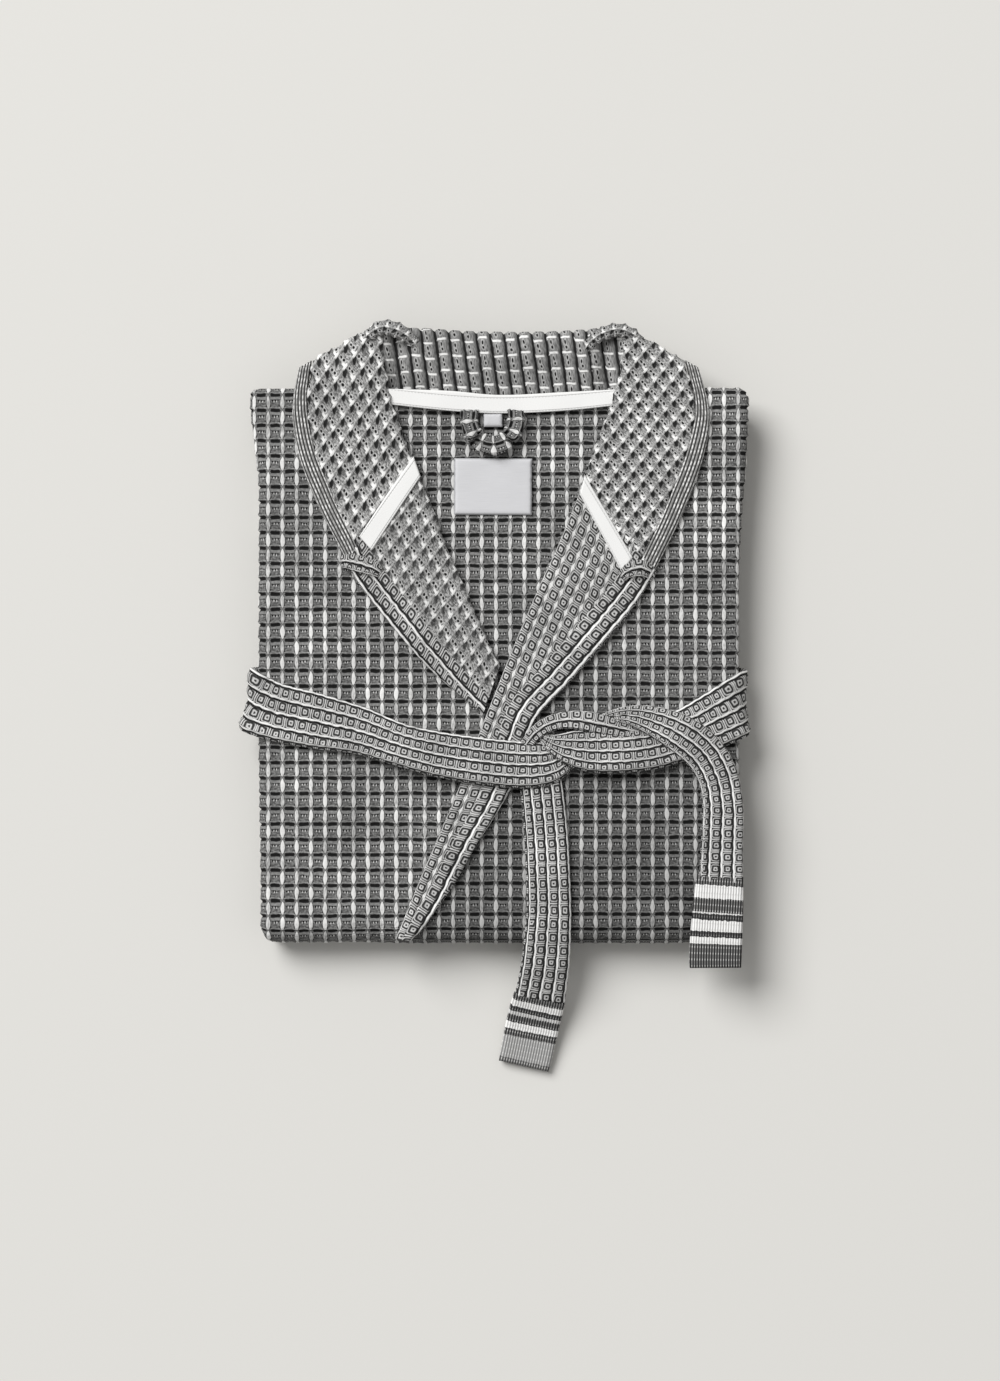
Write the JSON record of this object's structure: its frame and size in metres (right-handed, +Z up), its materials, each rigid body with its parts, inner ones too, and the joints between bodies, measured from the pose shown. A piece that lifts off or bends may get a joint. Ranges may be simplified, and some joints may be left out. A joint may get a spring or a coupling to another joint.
{
  "type": "folded bathrobe",
  "caption": "Folded waffle-weave bathrobe with a shawl collar, crossed fronts, contrast tapes, a hanging loop and a knotted belt whose striped ends hang free.",
  "frame": {"origin": "middle of the flat face that the folded robe rests on", "axes": "+Z up from that face, +Y from the bottom fold to the collar, +X to the wearer's left"},
  "size_m": [0.396, 0.5997, 0.0496],
  "materials": {
    "waffle_grey": "grey waffle-weave cotton, deep cells",
    "waffle_light": "grey and white waffle-weave cotton, flatter cells",
    "striped_edge": "woven stripes of dark grey and white yarn",
    "white_tape": "white woven cotton tape",
    "label_satin": "pale satin ribbon with a stitched white border"
  },
  "bodies": {
    "robe": {"back_panel": "waffle_grey", "front_panel_left": "waffle_grey", "front_panel_right": "waffle_grey", "sleeve_left": "waffle_grey", "sleeve_right": "waffle_grey", "sleeve_cuff_left": "waffle_light", "sleeve_cuff_right": "waffle_light", "collar_left": "waffle_grey", "collar_right": "waffle_grey", "collar_back": "waffle_grey", "collar_band_left": "striped_edge", "collar_band_right": "striped_edge", "lapel_left": "waffle_light", "lapel_right": "waffle_light", "front_band_left": "waffle_light", "front_band_right": "waffle_light", "contrast_tape_left": "white_tape", "contrast_tape_right": "white_tape", "neck_tape": "white_tape", "brand_label": "label_satin", "belt_back": "waffle_light", "belt_strap_left": "waffle_light", "belt_strap_right": "waffle_light", "belt_knot_turn": "waffle_light", "belt_bridge": "waffle_light"},
    "tail_long": {"belt_tail_long": "waffle_light", "belt_end_long": "striped_edge"},
    "tail_short": {"belt_tail_short": "waffle_light", "belt_end_short": "striped_edge"},
    "loop": {"hanging_loop": "waffle_light"},
    "label": {"size_label": "white_tape"}
  },
  "joints": [
    {"name": "belt_tail_long_lift", "type": "hinge", "parent": "robe", "child": "tail_long", "pos_m": [0.034, -0.102, 0.0452], "axis": [-1, 0, 0], "range_deg": [0, 75]},
    {"name": "belt_tail_short_lift", "type": "hinge", "parent": "robe", "child": "tail_short", "pos_m": [0.175, -0.108, 0.0452], "axis": [-1, 0, 0], "range_deg": [0, 75]},
    {"name": "hanging_loop_lift", "type": "hinge", "parent": "robe", "child": "loop", "pos_m": [-0.0024, 0.2013, 0.0357], "axis": [-1, 0, 0], "range_deg": [0, 90]},
    {"name": "size_label_lift", "type": "hinge", "parent": "robe", "child": "label", "pos_m": [-0.0024, 0.2013, 0.0357], "axis": [-1, 0, 0], "range_deg": [0, 100]}
  ]
}
